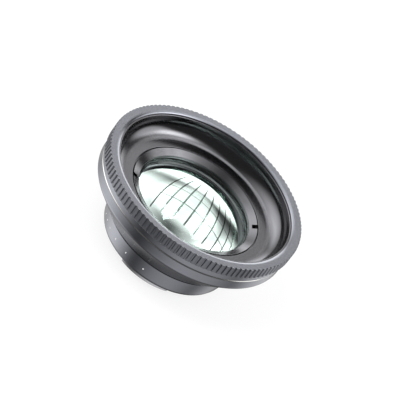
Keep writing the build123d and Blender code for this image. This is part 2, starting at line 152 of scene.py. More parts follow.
class LensCupSizes(bpy.types.PropertyGroup):
    """Sizes of the cup and of the ring round the front glass"""

    corner: length("Cup corner", "Inner radius of the cup's corner", 0.0043)
    wall: length("Cup wall", "Thickness of the cup", 0.0009)
    flange: length("Cup flange", "Thickness of the cup's clamped flange", 0.0009)
    floor_width: length("Cup floor width", "Width of the cup's flat floor", 0.0024)
    hole_gap: length("Cup hole gap", "Gap round the retaining ring", 0.00035)
    mouth_round: length("Mouth round", "Round at the cup's clamped mouth", 0.0002)
    hole_round: length("Hole round", "Round at the floor's inner edge", 0.00012)
    ring_step: length("Retaining ring step", "Retaining ring beyond the glass", 0.00105)
    ring_land: length("Retaining ring land", "Retaining ring over the glass", 0.00105)
    ring_slope: length("Retaining ring slope", "Drop of its sloping face", 0.001)
    slot_width: length("Slot width", "Width of a spanner slot", 0.0016)
    slot_depth: length("Slot depth", "Depth of a spanner slot", 0.0015)
    slot_reach: length("Slot reach", "How far a slot runs inwards", 0.0014)
    slot_azimuth: angle("Slot azimuth", "Where the first spanner slot stands", 23)


class LensGlassSizes(bpy.types.PropertyGroup):
    """Curves and rims of the glasses"""

    front_rim: length("Front glass rim", "Height of the front glass's rim", 0.00485)
    front_dome: length("Front dome", "Radius of the front glass's outer face", 0.038)
    front_hollow: length("Front hollow", "Radius of the front glass's inner face", 0.018)
    front_bevel: length("Front bevel", "Flat border round the front dome", 0.0011)
    front_centre: length("Front centre", "Thickness of the front glass at the axis", 0.002)
    second_rim: length("Second glass rim", "Height of the second glass's rim", 0.00415)
    second_dome: length("Second dome", "Radius of the second glass's outer face", 0.06)
    second_hollow: length("Second hollow", "Radius of the second glass's inner face", 0.014)
    second_bevel: length("Second bevel", "Flat border round the second dome", 0.001)
    second_centre: length("Second centre", "Thickness of the second glass at the axis", 0.0018)
    pair_bevel: length("Pair bevel", "Flat border of the cemented pair", 0.0008)
    pair_dome: length("Pair dome", "Radius of the pair's front face", 0.026)
    pair_joint: length("Pair joint", "Radius of the cemented face", 0.022)
    pair_rear: length("Pair rear", "Radius of the pair's rear face", 0.06)
    crown_rim: length("Crown rim", "Height of the crown glass's rim", 0.00115)
    rear_ring_width: length("Rear ring width", "Width of the rear retaining ring", 0.00145)
    rear_step: length("Rear step", "How far the rear ring's thread lies past the pair", 0.0005)


class LensColours(bpy.types.PropertyGroup):
    """Colours and sheen of the finishes"""

    grey_metal: colour("Grey anodising", "Front ring, barrel and mount ring", (0.195, 0.2, 0.222))
    bright_metal: colour("Polished edge", "Polished edges on the grey metal", (0.66, 0.655, 0.64))
    black_metal: colour("Black anodising", "Cup, cell and retaining rings", (0.128, 0.128, 0.136))
    foot_metal: colour("Foot metal", "Bayonet foot", (0.45, 0.45, 0.47))
    steel: colour("Steel", "Screws and pin", (0.56, 0.55, 0.53))
    rubber: colour("Rubber", "Gaskets and seal", (0.02, 0.02, 0.021))
    film: colour("Stop film", "Light stop", (0.012, 0.012, 0.013))
    paint: colour("Dot paint", "Index dots", (0.8, 0.8, 0.78))
    coating: colour("Front coating", "Tint of the front glass's reflection", (0.80, 0.93, 0.88))
    inner_coating: colour("Inner coating", "Tint of the inner reflections", (0.93, 0.72, 0.80))
    clear_tint: colour("Clear glass", "Tint of the cemented pair", (0.97, 0.99, 0.98))
    grey_roughness: share("Grey roughness", "Roughness of the grey anodising", 0.2)
    black_roughness: share("Black roughness", "Roughness of the black anodising", 0.17)
    knurl_roughness: share("Knurl roughness", "Roughness of the knurl's blasted teeth", 0.46)
    foot_roughness: share("Foot roughness", "Roughness of the bayonet foot", 0.24)
    steel_roughness: share("Steel roughness", "Roughness of the screws and the pin", 0.22)
    rubber_roughness: share("Rubber roughness", "Roughness of the gaskets and the seal", 0.62)
    film_roughness: share("Film roughness", "Roughness of the light stop", 0.85)
    coating_share: share("Coating share", "How strongly the front glass reflects", 0.55)
    inner_share: share("Inner share", "How strongly the second glass reflects", 0.12)
    clear_share: share("Clear share", "How strongly the cemented pair reflects", 0.05)


class LensStage(bpy.types.PropertyGroup):
    """Camera, lamps and backdrop"""

    camera_place: bpy.props.FloatVectorProperty(
        name="Camera place", description="Where the camera stands", size=3, subtype="TRANSLATION",
        unit="LENGTH", default=(0.00093, -0.56315, 0.41453),
    )
    camera_elevation: angle("Camera elevation", "Angle of the view above the horizon", 34.894)
    camera_roll: angle("Camera roll", "Turn of the view about its own axis", -37.06)
    focal_length: number("Focal length", "Focal length in millimetres", 225.79)
    shift: number("Camera shift", "Shift of the view, in frame widths", 0.00125)
    floor_size: length("Floor size", "Side of the pale floor", 6.0)
    floor_white: share("Floor white", "How much of the floor's white is its own", 0.8)
    room_level: number("Room level", "Light between the soft boxes", 0.1)
    matt_level: number("Matt level", "The world's light on matt surfaces", 0.7)


FINISHES = {}
# Steps round the axis, along a dome, along the deep hollows and round a dot
SEGMENTS = 192
CAP_STEPS = 32
HOLLOW_STEPS = 40
DOT_STEPS = 32
# Clearances of a close and of a loose fit, and how near a face lies to count as on a surface
FIT = 0.00005
SLIP = 0.0001
SKIN = 0.00002
# Distance within which vertices are joined, in metres
MERGE = 1e-6
# Angles in degrees: shaded smooth below, taken as flat below, rounded above
SMOOTH_ANGLE = 35
FLAT_ANGLE = 0.3
CORNER_ANGLE = 32
# Fineness of the noises on turned metal
FINE_TURNING = 5200
BROAD_TURNING = 420
BLAST_GRAIN = 2600
METAL_CLOUDS = 110
# Pieces that keep their CAD shape: name, node, finish and the rounding of their edges
REAR_COPIES = (
    ("bayonet_foot", "bayonet_base", "foot_metal", 0.00008),
    ("mount_screws_driven", "mount_screws", "steel", 0.00004),
    ("rear_ring_slotted", "rear_retaining_ring", "black_anodised", 0.00005),
)
INNER_COPIES = (
    ("lens_cell_stepped", "lens_cell", "black_anodised", 0.00005),
    ("cell_screws_driven", "cell_screws", "steel", 0.00004),
    ("locating_pin_ground", "locating_pin", "steel", 0.00005),
    ("spacer_ring_black", "spacer_ring", "black_anodised", 0.00005),
    ("light_stop_film", "light_stop", "stop_film", 0.00002),
    ("cell_seal_rubber", "cell_seal", "rubber", 0.00005),
    ("cup_gasket_rubber", "cup_gasket", "rubber", 0.00003),
    ("front_gasket_rubber", "front_gasket", "rubber", 0.00003),
)
# Lamps: name, place, side and power
LAMPS = (
    ("key_box", (-0.5, -0.35, 0.8), 0.6, 9.0),
    ("fill_box", (0.6, -0.2, 0.7), 0.7, 6.0),
)
# Ceiling, on a plane one unit over the lens: half the distance between bars and between joints
HALF_BAR_SPACING = 0.085
HALF_JOINT_SPACING = 0.23
# Where a gap's dark ends, and where the panels fade in and out on each side
GAP_EDGE = (0.008, 0.016)
CEILING_LEFT = (-0.5, -0.45)
CEILING_RIGHT = (1.0, 1.05)
CEILING_NEAR = (0.25, 0.3)
CEILING_FAR = (2.6, 2.7)
# Light that a panel adds and a gap takes, the lowest height divided by, and a shift past zero
PANEL_LIGHT = 0.2
GAP_LOSS = 1.1
LOWEST_HEIGHT = 0.02
PLANE_SHIFT = 20.0
# Soft boxes: azimuth, elevation, inner angle and fade in degrees, and strength
SOFT_BOXES = (
    (12, 54, 0, 23, 4.9),
    (30, 57, 12, 26, 1.2),
    (26, 31, 13, 17, 1.95),
    (159, 34, 1, 53, 2.9),
    (135, 38, 8, 14, 0.8),
    (93, 56, 17, 10, 1.35),
    (92, 0, 24, 12, 2.9),
    (-178, -45, 1, 38, 2.1),
    (-151, -31, 9, 24, 0.45),
    (-40, -47, 6, 46, 0.97),
    (-80, -37, 9, 25, 0.27),
    (40, -25, 12, 24, 1.2),
    (135, -46, 2, 41, 0.75),
)


class Value:
    """Output of a shader node; the signs of arithmetic on it add Math nodes."""

    def __init__(self, graph, socket):
        self.graph = graph
        self.socket = socket

    def __add__(self, other):
        return self.graph.maths("ADD", self, other)

    def __sub__(self, other):
        return self.graph.maths("SUBTRACT", self, other)

    def __rsub__(self, other):
        return self.graph.maths("SUBTRACT", other, self)

    def __mul__(self, other):
        return self.graph.maths("MULTIPLY", self, other)

    def __truediv__(self, other):
        return self.graph.maths("DIVIDE", self, other)

    __radd__ = __add__
    __rmul__ = __mul__


class Graph:
    """Node tree of a material or of the world."""

    def __init__(self, owner):
        owner.use_nodes = True
        self.tree = owner.node_tree
        self.tree.nodes.clear()

    def node(self, kind, settings, values):
        """Adds a node: its settings first, then the values or links of its sockets."""
        made = self.tree.nodes.new("ShaderNode" + kind)
        for name, setting in settings.items():
            setattr(made, name, setting)
        for name, value in values.items():
            socket = made.inputs[name]
            if isinstance(value, Value):
                self.tree.links.new(value.socket, socket)
            else:
                socket.default_value = value
        return made

    def value(self, kind, settings, values, output=0):
        """Adds a node and gives one of its outputs."""
        return Value(self, self.node(kind, settings, values).outputs[output])

    def maths(self, operation, *values):
        """Math node on up to three values."""
        return self.value("Math", {"operation": operation}, dict(enumerate(values)))

    def blend(self, factor, first, second):
        """Mix of two colours."""
        return self.value(
            "Mix", {"data_type": "RGBA"}, {0: factor, 6: first, 7: second}, output=2
        )

    def place(self):
        """Object coordinates: the vector, then the distance from the axis and the height."""
        vector = self.value("TexCoord", {}, {}, output="Object")
        split = self.node("SeparateXYZ", {}, {0: vector})
        x, y, z = (Value(self, output) for output in split.outputs)
        radius = self.maths("SQRT", x * x + y * y)
        return vector, radius, z

    def turning(self, fineness):
        """Noise drawn out round the axis, as a cutting tool leaves it, between 0 and 1."""
        _, radius, z = self.place()
        along = self.value("CombineXYZ", {}, {0: radius, 1: z, 2: 0.0})
        return self.value(
            "TexNoise", {}, {"Vector": along, "Scale": fineness, "Detail": 3.0, "Roughness": 0.6}
        )

    def grain(self, fineness, detail=2.0):
        """Even noise over the whole surface, between 0 and 1."""
        vector, _, _ = self.place()
        return self.value("TexNoise", {}, {"Vector": vector, "Scale": fineness, "Detail": detail})

    def span(self, value, low, high, start=0.0, end=1.0):
        """Carries a value from one range to another, held at its ends."""
        values = {0: value, 1: low, 2: high, 3: start, 4: end}
        return self.value("MapRange", {"interpolation_type": "SMOOTHSTEP"}, values)

    def bump(self, height, distance, strength):
        """Normal tilted by a height between 0 and 1."""
        return self.value(
            "Bump", {}, {"Height": height, "Distance": distance, "Strength": strength}
        )

    def principled(self, values):
        """Principled shader as the material's surface."""
        self.surface(self.value("BsdfPrincipled", {}, values))

    def surface(self, shader, kind="OutputMaterial"):
        """Links a shader to the tree's output."""
        self.node(kind, {}, {"Surface": shader})


def new_finish(name):
    """Empty material and its graph."""
    material = bpy.data.materials.new(name)
    return material, Graph(material)


def rgba(value, strength):
    """Colour of four numbers from one of three."""
    return (*(part * strength for part in value), 1)


def turned_metal(name, tint, roughness, mark=1.0):
    """Blasted and anodised metal that still shows fine turning marks."""
    material, graph = new_finish(name)
    rings = graph.turning(FINE_TURNING)
    broad = graph.turning(BROAD_TURNING)
    grain = graph.grain(BLAST_GRAIN)
    cloud = graph.grain(METAL_CLOUDS)
    tone = graph.span(rings * 0.3 + grain * 0.3 + cloud * 0.4, 0.3, 0.7)
    base = graph.blend(tone, rgba(tint, 0.96), rgba(tint, 1.04))
    rough = roughness + (grain - 0.5) * 0.04 + (broad - 0.5) * 0.04 * mark
    height = rings * 0.6 * mark + grain * 0.4
    graph.principled({
        "Base Color": base,
        "Metallic": 1.0,
        "Roughness": rough,
        "Normal": graph.bump(height, 0.000001, 0.3),
    })
    return material


def polished_metal(name, tint):
    """Bright cut edge with faint tool lines."""
    material, graph = new_finish(name)
    rings = graph.turning(9000)
    cloud = graph.grain(300)
    base = graph.blend(graph.span(cloud, 0.3, 0.7), rgba(tint, 0.9), rgba(tint, 1.08))
    graph.principled({
        "Base Color": base,
        "Metallic": 1.0,
        "Roughness": 0.12 + rings * 0.1,
        "Normal": graph.bump(rings, 0.000002, 0.3),
    })
    return material


def moulded(name, tint, roughness, fineness, depth):
    """Matt rubber or film with a fine grain."""
    material, graph = new_finish(name)
    grain = graph.grain(fineness, 4.0)
    cloud = graph.grain(200)
    base = graph.blend(graph.span(cloud, 0.3, 0.7), rgba(tint, 0.85), rgba(tint, 1.2))
    graph.principled({
        "Base Color": base,
        "Roughness": roughness + (grain - 0.5) * 0.15,
        "Normal": graph.bump(grain, depth, 0.5),
    })
    return material


def dot_paint(name, tint):
    """Thick white paint of the index dots."""
    material, graph = new_finish(name)
    grain = graph.grain(6000, 3.0)
    base = graph.blend(grain, rgba(tint, 0.92), rgba(tint, 1.05))
    graph.principled({
        "Base Color": base,
        "Roughness": 0.45 + (grain - 0.5) * 0.2,
        "Normal": graph.bump(grain, 0.00001, 0.5),
    })
    return material


def coated_glass(name, tint, share_of_coat):
    """Clear glass whose thin coating tints what it reflects."""
    material, graph = new_finish(name)
    cloud = graph.grain(60)
    base = graph.blend(graph.span(cloud, 0.35, 0.65), rgba(tint, 0.97), rgba(tint, 1.0))
    graph.principled({
        "Base Color": base,
        "Metallic": share_of_coat + (cloud - 0.5) * 0.02,
        "Roughness": 0.0,
        "IOR": 1.52,
        "Transmission Weight": 1.0,
    })
    return material


def finish(name):
    """The named material, made the first time that it is asked for."""
    if name not in FINISHES:
        tints = bpy.context.scene.lens_colours
        makers = {
            "grey_anodised": lambda: turned_metal(name, tints.grey_metal, tints.grey_roughness),
            "black_anodised": lambda: turned_metal(name, tints.black_metal, tints.black_roughness),
            "knurled_grip": lambda: turned_metal(
                name, tints.grey_metal, tints.knurl_roughness, 0.5
            ),
            "polished_edge": lambda: polished_metal(name, tints.bright_metal),
            "foot_metal": lambda: turned_metal(name, tints.foot_metal, tints.foot_roughness),
            "steel": lambda: turned_metal(name, tints.steel, tints.steel_roughness, 0.6),
            "rubber": lambda: moulded(
                name, tints.rubber, tints.rubber_roughness, 5000, 0.00001
            ),
            "stop_film": lambda: moulded(
                name, tints.film, tints.film_roughness, 9000, 0.000005
            ),
            "dot_paint": lambda: dot_paint(name, tints.paint),
            "front_coating": lambda: coated_glass(name, tints.coating, tints.coating_share),
            "inner_coating": lambda: coated_glass(name, tints.inner_coating, tints.inner_share),
            "clear_glass": lambda: coated_glass(name, tints.clear_tint, tints.clear_share),
        }
        FINISHES[name] = makers[name]()
    return FINISHES[name]


def section(mesh, corners):
    """Half section drawn as a closed wire; each corner is a radius, a height and its rounding."""
    points = [mesh.verts.new((corner[0], 0, corner[1])) for corner in corners]
    for first, second in zip(points, points[1:] + points[:1]):
        mesh.edges.new((first, second))
    for point, corner in zip(points, corners):
        if len(corner) > 2 and corner[2] > 0:
            steps = corner[3] if len(corner) > 3 else 3
            bmesh.ops.bevel(
                mesh, geom=[point], offset=corner[2], offset_type="OFFSET", segments=steps,
                profile=0.5, affect="VERTICES", material=-1,
            )


def spun(mesh):
    """Spins everything in the mesh right round the axis and closes it."""
    bmesh.ops.spin(
        mesh, geom=mesh.verts[:] + mesh.edges[:], cent=(0, 0, 0), axis=(0, 0, 1), angle=tau,
        steps=SEGMENTS, use_merge=True,
    )
    bmesh.ops.remove_doubles(mesh, verts=mesh.verts, dist=1e-7)
    bmesh.ops.recalc_face_normals(mesh, faces=mesh.faces)


def cap(mesh, curve, edge_radius, edge_height, rise, steps=CAP_STEPS):
    """Wire along a spherical face from its edge to the axis; rise is 1 for a dome, -1 for a bowl."""
    centre = edge_height - rise * sqrt(curve**2 - edge_radius**2)
    start = mesh.verts.new((edge_radius, 0, edge_height))
    sweep = asin(edge_radius / curve)
    result = bmesh.ops.spin(
        mesh, geom=[start], cent=(0, 0, centre), axis=(0, 1, 0), angle=-rise * sweep, steps=steps
    )
    last = next(part for part in result["geom_last"] if isinstance(part, bmesh.types.BMVert))
    last.co.x = 0
    return start


def rim_wire(mesh, start, end, corners):
    """Wire from one vertex through corners to another."""
    points = [start] + [mesh.verts.new((radius, 0, height)) for radius, height in corners] + [end]
    for first, second in zip(points, points[1:]):
        mesh.edges.new((first, second))


def piece(name, mesh, finishes, nodes):
    """Puts a finished mesh in the scene as a piece that stands for its CAD nodes."""
    data = bpy.data.meshes.new(name)
    mesh.to_mesh(data)
    mesh.free()
    for material in finishes:
        data.materials.append(finish(material))
    made = bpy.data.objects.new(name, data)
    bpy.context.scene.collection.objects.link(made)
    settle(made)
    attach(made, "root")
    if nodes:
        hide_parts(*nodes)
    return made


def settle(made):
    """Smooth shading with crisp edges, its normals led by the larger faces."""
    made.data.shade_smooth()
    made.data.set_sharp_from_angle(angle=radians(SMOOTH_ANGLE))
    weighted = made.modifiers.new("even_normals", "WEIGHTED_NORMAL")
    weighted.keep_sharp = True
    weighted.mode = "FACE_AREA_WITH_ANGLE"


def dressed_copy(name, node, material, bevel):
    """Copy of a CAD node with its flat faces joined and its edges rounded."""
    mesh = bmesh.new()
    mesh.from_mesh(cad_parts[node].data)
    bmesh.ops.remove_doubles(mesh, verts=mesh.verts, dist=MERGE)
    bmesh.ops.dissolve_limit(
        mesh, angle_limit=radians(FLAT_ANGLE), verts=mesh.verts, edges=mesh.edges,
        use_dissolve_boundaries=False,
    )
    made = piece(name, mesh, [material], [node])
    rounding = made.modifiers.new("edge_round", "BEVEL")
    rounding.width = bevel
    rounding.segments = 2
    rounding.limit_method = "ANGLE"
    rounding.angle_limit = radians(CORNER_ANGLE)
    made.modifiers.move(1, 0)


def cut(made, cutters):
    """Takes cutter meshes away from a piece."""
    for cutter in cutters:
        data = bpy.data.meshes.new("cutter")
        cutter.to_mesh(data)
        cutter.free()
        tool = bpy.data.objects.new("cutter", data)
        bpy.context.scene.collection.objects.link(tool)
        taking = made.modifiers.new("cut", "BOOLEAN")
        taking.object = tool
        taking.solver = "EXACT"
        bpy.context.view_layer.update()
        others = [other for other in made.modifiers if other != taking]
        for other in others:
            other.show_viewport = False
        bpy.context.view_layer.update()
        result = made.evaluated_get(bpy.context.evaluated_depsgraph_get())
        fresh = bpy.data.meshes.new_from_object(result)
        made.modifiers.remove(taking)
        for other in others:
            other.show_viewport = True
        made.data = fresh
        bpy.data.objects.remove(tool)
    made.data.shade_smooth()
    made.data.set_sharp_from_angle(angle=radians(SMOOTH_ANGLE))


def tube(sizes):
    """Outer radius of the lens cell's tube within the hub."""
    return reach("second_element") + FIT + sizes.cell_wall


def paint_faces(made, material, test):
    """Gives the faces that pass a test on their middle and normal another material."""
    made.data.materials.append(finish(material))
    place = len(made.data.materials) - 1
    for face in made.data.polygons:
        if test(face.center, face.normal):
            face.material_index = place


class LENS_OT_front_ring(bpy.types.Operator):
    """Builds the knurled front ring"""

    bl_idname = "lens.front_ring"
    bl_label = "Front ring"

    def execute(self, context):
        sizes = context.scene.lens_metal_sizes
        tip = reach("front_ring")
        low, face = foot("front_ring"), top("front_ring")
        root = tip - sizes.tooth_depth
        neck = root - sizes.neck_step
        bore = neck - sizes.ring_wall
        lip = bore - FIT - sizes.lip_width
        knurl = face - sizes.knurl_land - sizes.knurl_height
        under_lip = face - sizes.lip_height
        fine = sizes.edge_round
        drop = sizes.lip_slope_drop
        sweep = 2 * atan2(drop, sizes.lip_slope_width)
        tangent = drop / sin(sweep)
        corners = [
            (bore, low, fine),
            (neck, low, sizes.edge_break),
            (neck, knurl),
            (root, knurl, fine / 2, 1),
            (tip, knurl + sizes.knurl_foot, fine / 2, 2),
            (tip, face - sizes.knurl_land, fine / 2, 2),
            (tip - sizes.knurl_land, face, fine / 2, 2),
            (lip + sizes.lip_slope_width - tangent, face, tangent * 0.96, 12),
            (lip, face - drop, fine / 2, 2),
            (lip, under_lip, fine, 2),
            (bore, under_lip),
        ]
        pitch = tau / sizes.tooth_count
        crest = sizes.tooth_crest / tip
        floor = sizes.tooth_floor / root
        flank = (pitch - crest - floor) / 2
        mesh = bmesh.new()
        section(mesh, corners)
        turn = sizes.tooth_azimuth - pitch / 2
        start = Matrix.Rotation(turn, 3, "Z")
        bmesh.ops.rotate(mesh, verts=mesh.verts, cent=(0, 0, 0), matrix=start)
        edge = mesh.verts[:] + mesh.edges[:]
        for step, count in ((floor / 2, 1), (flank, 1), (crest, 2), (flank, 1), (floor / 2, 1)):
            result = bmesh.ops.spin(
                mesh, geom=edge, cent=(0, 0, 0), axis=(0, 0, 1), angle=step, steps=count
            )
            edge = result["geom_last"]
        self.sink_grooves(mesh, sizes.tooth_azimuth, crest / 2 + flank * 0.9, root)
        self.round_teeth(mesh, sizes.tooth_azimuth, crest / 2, root, knurl, fine * 0.8)
        copies = sizes.tooth_count - 1
        bmesh.ops.spin(
            mesh, geom=mesh.verts[:] + mesh.edges[:] + mesh.faces[:], cent=(0, 0, 0), axis=(0, 0, 1),
            angle=pitch * copies, steps=copies, use_duplicate=True,
        )
        bmesh.ops.remove_doubles(mesh, verts=mesh.verts, dist=2 * MERGE)
        bmesh.ops.recalc_face_normals(mesh, faces=mesh.faces)
        ring = piece("front_ring_knurled", mesh, ["grey_anodised"], ["front_ring"])

        def on_knurl(middle, normal):
            outside = hypot(middle.x, middle.y) > root - SKIN
            return outside and knurl < middle.z and abs(normal.z) < 0.9

        paint_faces(ring, "knurled_grip", on_knurl)
        return {"FINISHED"}

    def sink_grooves(self, mesh, middle, half, root):
        """Moves the columns between two teeth in to the groove's floor."""
        for vertex in mesh.verts:
            spread = abs(atan2(vertex.co.y, vertex.co.x) - middle)
            distance = hypot(vertex.co.x, vertex.co.y)
            if spread > half and distance > root:
                pull = root / distance
                vertex.co.x *= pull
                vertex.co.y *= pull

    def round_teeth(self, mesh, middle, half, root, knurl, width):
        """Rounds the upright edges of the tooth's crest."""
        edges = []
        for line in mesh.edges:
            ends = [point.co for point in line.verts]
            spreads = [abs(atan2(end.y, end.x) - middle) for end in ends]
            on_crest = all(abs(spread - half) < 1e-4 for spread in spreads)
            proud = all(hypot(end.x, end.y) > root + MERGE and end.z > knurl for end in ends)
            if on_crest and proud:
                edges.append(line)
        bmesh.ops.bevel(
            mesh, geom=edges, offset=width, offset_type="OFFSET", segments=2, profile=0.5,
            affect="EDGES", material=-1, clamp_overlap=True,
        )


class LENS_OT_hood_cup(bpy.types.Operator):
    """Builds the black cup round the front glass"""

    bl_idname = "lens.hood_cup"
    bl_label = "Hood cup"

    def execute(self, context):
        sizes = context.scene.lens_cup_sizes
        fine = context.scene.lens_metal_sizes.edge_round
        outer, low, high = reach("hood_cup"), foot("hood_cup"), top("hood_cup")
        hole = reach("front_retaining_ring") + sizes.hole_gap
        side = hole + sizes.floor_width + sizes.corner
        corners = [
            (hole, low, fine),
            (side + sizes.wall, low, sizes.corner + sizes.wall * 0.9, 20),
            (side + sizes.wall, high - sizes.flange),
            (outer, high - sizes.flange, fine),
            (outer, high, fine),
            (side, high, sizes.mouth_round, 6),
            (side, low + sizes.wall, sizes.corner, 28),
            (hole, low + sizes.wall, sizes.hole_round, 4),
        ]
        mesh = bmesh.new()
        section(mesh, corners)
        spun(mesh)
        piece("hood_cup_turned", mesh, ["black_anodised"], ["hood_cup"])
        return {"FINISHED"}


class LENS_OT_retaining_ring(bpy.types.Operator):
    """Builds the ring round the front glass with its two spanner slots"""

    bl_idname = "lens.retaining_ring"
    bl_label = "Front retaining ring"

    def execute(self, context):
        sizes = context.scene.lens_cup_sizes
        fine = context.scene.lens_metal_sizes.edge_round
        node = "front_retaining_ring"
        outer, low, high = reach(node), foot(node), top(node)
        inner = outer - sizes.ring_step - sizes.ring_land
        corners = [
            (inner, low, fine),
            (outer, low, fine),
            (outer, high, fine),
            (inner, high - sizes.ring_slope, fine),
        ]
        mesh = bmesh.new()
        section(mesh, corners)
        spun(mesh)
        ring = piece("retaining_ring_slotted", mesh, ["black_anodised"], [node])
        cutters = []
        for turn in (0, pi):
            cutter = bmesh.new()
            bmesh.ops.create_cube(cutter, size=1)
            size = (2 * sizes.slot_reach, sizes.slot_width, 2 * sizes.slot_depth)
            bmesh.ops.scale(cutter, vec=size, verts=cutter.verts)
            bmesh.ops.translate(cutter, vec=(outer, 0, high), verts=cutter.verts)
            around = Matrix.Rotation(sizes.slot_azimuth + turn, 3, "Z")
            bmesh.ops.rotate(cutter, verts=cutter.verts, cent=(0, 0, 0), matrix=around)
            cutters.append(cutter)
        cut(ring, cutters)
        return {"FINISHED"}


class LENS_OT_glasses(bpy.types.Operator):
    """Builds the front glass, the second glass and the cemented pair"""

    bl_idname = "lens.glasses"
    bl_label = "Glasses"

    def execute(self, context):
        sizes = context.scene.lens_glass_sizes
        self.meniscus(
            "front_glass", "front_element", sizes.front_rim, sizes.front_dome, sizes.front_hollow,
            sizes.front_bevel, sizes.front_centre, "front_coating",
        )
        self.meniscus(
            "second_glass", "second_element", sizes.second_rim, sizes.second_dome,
            sizes.second_hollow, sizes.second_bevel, sizes.second_centre, "inner_coating",
        )
        self.pair(sizes)
        return {"FINISHED"}

    def meniscus(self, name, node, rim, dome, hollow, bevel, centre, material):
        """Negative glass: a dome in front and a deeper hollow behind."""
        radius, low = reach(node), foot(node)
        clear = radius - bevel
        edge = low + rim
        apex = edge + dome - sqrt(dome**2 - clear**2)
        depth = apex - centre - low
        mouth = sqrt(hollow**2 - (hollow - depth) ** 2)
        mesh = bmesh.new()
        front = cap(mesh, dome, clear, edge, 1)
        back = cap(mesh, hollow, mouth, low, 1, HOLLOW_STEPS)
        rim_wire(mesh, front, back, [(radius, edge), (radius, low)])
        spun(mesh)
        piece(name, mesh, [material], [node])

    def pair(self, sizes):
        """Cemented pair: a crown glass in front of a flint glass."""
        radius, seat = reach("doublet_front"), top("doublet_front")
        clear = radius - sizes.pair_bevel
        seat -= sizes.pair_dome - sqrt(sizes.pair_dome**2 - clear**2)
        joint = seat - sizes.crown_rim
        mesh = bmesh.new()
        front = cap(mesh, sizes.pair_dome, clear, seat, 1)
        back = cap(mesh, sizes.pair_joint, radius, joint, -1)
        rim_wire(mesh, front, back, [(radius, seat)])
        spun(mesh)
        piece("crown_glass", mesh, ["clear_glass"], ["doublet_front"])
        rear_clear = radius + sizes.rear_step - FIT - sizes.rear_ring_width - SLIP
        rear = foot("doublet_rear") + sizes.pair_rear - sqrt(sizes.pair_rear**2 - rear_clear**2)
        mesh = bmesh.new()
        front = cap(mesh, sizes.pair_joint, radius, joint, -1)
        back = cap(mesh, sizes.pair_rear, rear_clear, rear, -1)
        rim_wire(mesh, front, back, [(radius, rear)])
        spun(mesh)
        piece("flint_glass", mesh, ["clear_glass"], ["doublet_rear"])


class LENS_OT_barrel(bpy.types.Operator):
    """Builds the barrel with its hub, cone, band and collar"""

    bl_idname = "lens.barrel"
    bl_label = "Barrel"

    def execute(self, context):
        sizes = context.scene.lens_metal_sizes
        fine, broken = sizes.edge_round, sizes.edge_break
        band = reach("main_barrel")
        low, high = foot("main_barrel"), top("main_barrel")
        collar = reach("cup_gasket")
        cavity = collar - sizes.collar_wall
        seat = top("lens_cell") - sizes.cell_flange
        shoulder = foot("front_ring") - FIT
        band_foot = shoulder - sizes.bright_height - sizes.band_height
        joint = band_foot - sizes.cone_height
        mount_top = reach("mount_ring")
        slope = (band - mount_top) / sizes.cone_height
        lead = sizes.cone_round * tan(atan2(band - mount_top, sizes.cone_height) / 2)
        seal_outer = reach("cell_seal") + FIT
        seal_inner = seal_outer - sizes.seal_width
        bore = seal_inner - sizes.seal_wall
        step = low + sizes.hub_step
        hub = reach("bayonet_base") + sizes.hub_wall
        hub_bore = tube(sizes) + SLIP
        groove = sizes.joint_groove
        corners = [
            (band, shoulder - sizes.bright_height, fine, 2),
            (band - sizes.bright_width, shoulder, fine, 2),
            (collar, shoulder),
            (collar, high, broken),
            (cavity, high, broken),
            (cavity, seat),
            (seal_outer, seat),
            (seal_outer, seat - sizes.seal_depth),
            (seal_inner, seat - sizes.seal_depth),
            (seal_inner, seat),
            (bore, seat, fine),
            (bore, step),
            (hub_bore, step, fine),
            (hub_bore, low, fine),
            (hub, low, fine),
            (hub, joint),
            (mount_top - groove, joint, fine / 2, 2),
            (mount_top + groove * slope, joint + groove, fine / 2, 2),
            (band, band_foot, lead, 10),
        ]
        mesh = bmesh.new()
        section(mesh, corners)
        spun(mesh)
        barrel = piece("barrel_turned", mesh, ["grey_anodised"], ["main_barrel"])

        def on_bright_edge(middle, normal):
            outside = hypot(middle.x, middle.y) > band - sizes.bright_width
            return outside and middle.z > shoulder - sizes.bright_height and normal.z > 0.3

        paint_faces(barrel, "polished_edge", on_bright_edge)
        return {"FINISHED"}


